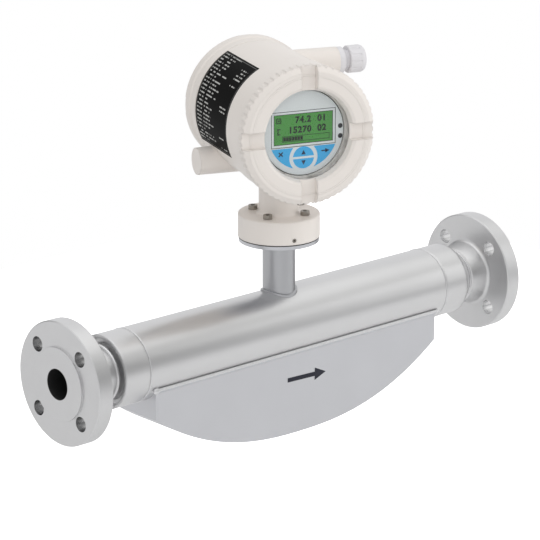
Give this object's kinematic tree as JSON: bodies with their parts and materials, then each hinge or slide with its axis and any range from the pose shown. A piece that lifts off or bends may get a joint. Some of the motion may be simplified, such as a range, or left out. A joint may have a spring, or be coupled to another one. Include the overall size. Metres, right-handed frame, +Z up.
{
  "type": "coriolis mass flow meter",
  "caption": "Flanged mass flow meter: welded steel sensor with a rounded belly for bent measuring tubes, and a round transmitter with display, screw covers and cable gland on a neck.",
  "frame": {"origin": "centre of the inlet flange's raised face", "axes": "+X along the pipe in the direction of flow, +Z up through the neck to the transmitter, -Y to the side with the arrow and the display"},
  "size_m": [0.534, 0.1885, 0.3641],
  "materials": {
    "machined_stainless": "turned, satin",
    "blasted_stainless": "bead blasted",
    "tube_stainless": "drawn, pickled",
    "plated_steel": "zinc plated, dull",
    "copper_coil": "enamelled winding",
    "powder_coat": "powder coated, warm off-white",
    "black_rubber": "matt",
    "black_plastic": "fine grained",
    "black_label": "matt black foil",
    "circuit_board": "solder mask",
    "terminal_plastic": "moulded",
    "grey_plastic": "moulded, light grey",
    "display_plastic": "smooth",
    "lcd_green": "backlit screen",
    "key_blue": "smooth",
    "clear_glass": "polished"
  },
  "bodies": {
    "sensor": {"inlet_flange": "machined_stainless", "outlet_flange": "machined_stainless", "inlet_splitter": "blasted_stainless", "outlet_splitter": "blasted_stainless", "casing_end_inlet": "blasted_stainless", "casing_end_outlet": "blasted_stainless", "casing_barrel": "blasted_stainless", "belly_plate_front": "blasted_stainless", "belly_plate_rear": "blasted_stainless", "belly_strip": "blasted_stainless", "flow_tube_front": "tube_stainless", "flow_tube_rear": "tube_stainless", "brace_plates": "tube_stainless", "drive_coil": "copper_coil", "drive_magnet": "plated_steel", "pickoff_coils": "copper_coil", "pickoff_magnets": "plated_steel", "temperature_sensor": "tube_stainless", "sensor_harness": "black_rubber", "neck_tube": "blasted_stainless", "neck_plate": "blasted_stainless", "swivel_spigot": "plated_steel", "feedthrough": "plated_steel", "base_gasket": "black_rubber"},
    "transmitter": {"housing": "powder_coat", "clamp_ring": "plated_steel", "base_screws": "plated_steel", "grub_screw": "plated_steel", "type_plate": "black_label", "electronics_carrier": "black_plastic", "signal_harness": "black_rubber", "main_board": "circuit_board", "carrier_lid": "black_plastic", "terminal_carrier": "grey_plastic", "terminal_block": "terminal_plastic", "terminal_screws": "plated_steel", "gland_body": "grey_plastic", "gland_seal": "black_rubber"},
    "display": {"display_case": "display_plastic", "lcd_panel": "lcd_green", "touch_keys": "key_blue", "infrared_ports": "black_plastic"},
    "front_seal": {"front_seal": "black_rubber"},
    "front_cover": {"front_cover": "powder_coat", "window_glass": "clear_glass", "glass_ring": "grey_plastic", "cover_lock_screw": "plated_steel"},
    "rear_seal": {"rear_seal": "black_rubber"},
    "rear_cover": {"rear_cover": "powder_coat"},
    "gland_slip": {"gland_slip_ring": "grey_plastic"},
    "gland_nut": {"gland_nut": "grey_plastic"}
  },
  "joints": [
    {"name": "housing_turn", "type": "hinge", "parent": "sensor", "child": "transmitter", "pos_m": [0.2645, 0, 0.1], "axis": [0, 0, 1], "range_deg": [-165, 165]},
    {"name": "display_turn", "type": "hinge", "parent": "transmitter", "child": "display", "pos_m": [0.2645, 0, 0.199], "axis": [-0.342, -0.9397, 0], "range_deg": [-90, 180]},
    {"name": "front_cover_travel", "type": "slide", "parent": "transmitter", "child": "front_seal", "axis": [-0.342, -0.9397, 0], "range_m": [0, 0.01301]},
    {"name": "front_cover_turn", "type": "hinge", "parent": "front_seal", "child": "front_cover", "pos_m": [0.2645, 0, 0.199], "axis": [-0.342, -0.9397, 0], "range_deg": [0, 2340]},
    {"name": "rear_cover_travel", "type": "slide", "parent": "transmitter", "child": "rear_seal", "axis": [0.342, 0.9397, 0], "range_m": [0, 0.01301]},
    {"name": "rear_cover_turn", "type": "hinge", "parent": "rear_seal", "child": "rear_cover", "pos_m": [0.2645, 0, 0.199], "axis": [0.342, 0.9397, 0], "range_deg": [0, 2340]},
    {"name": "gland_nut_travel", "type": "slide", "parent": "transmitter", "child": "gland_slip", "axis": [0.9397, -0.342, 0], "range_m": [0, 0.003]},
    {"name": "gland_nut_turn", "type": "hinge", "parent": "gland_slip", "child": "gland_nut", "pos_m": [0.2751, 0.02913, 0.241], "axis": [0.9397, -0.342, 0], "range_deg": [0, 721]}
  ],
  "couplings": [
    {"joint": "front_cover_travel", "follows": "front_cover_turn", "m_per_rad": 0.00031831},
    {"joint": "rear_cover_travel", "follows": "rear_cover_turn", "m_per_rad": 0.00031831},
    {"joint": "gland_nut_turn", "follows": "gland_nut_travel", "rad_per_m": 4188.8}
  ]
}
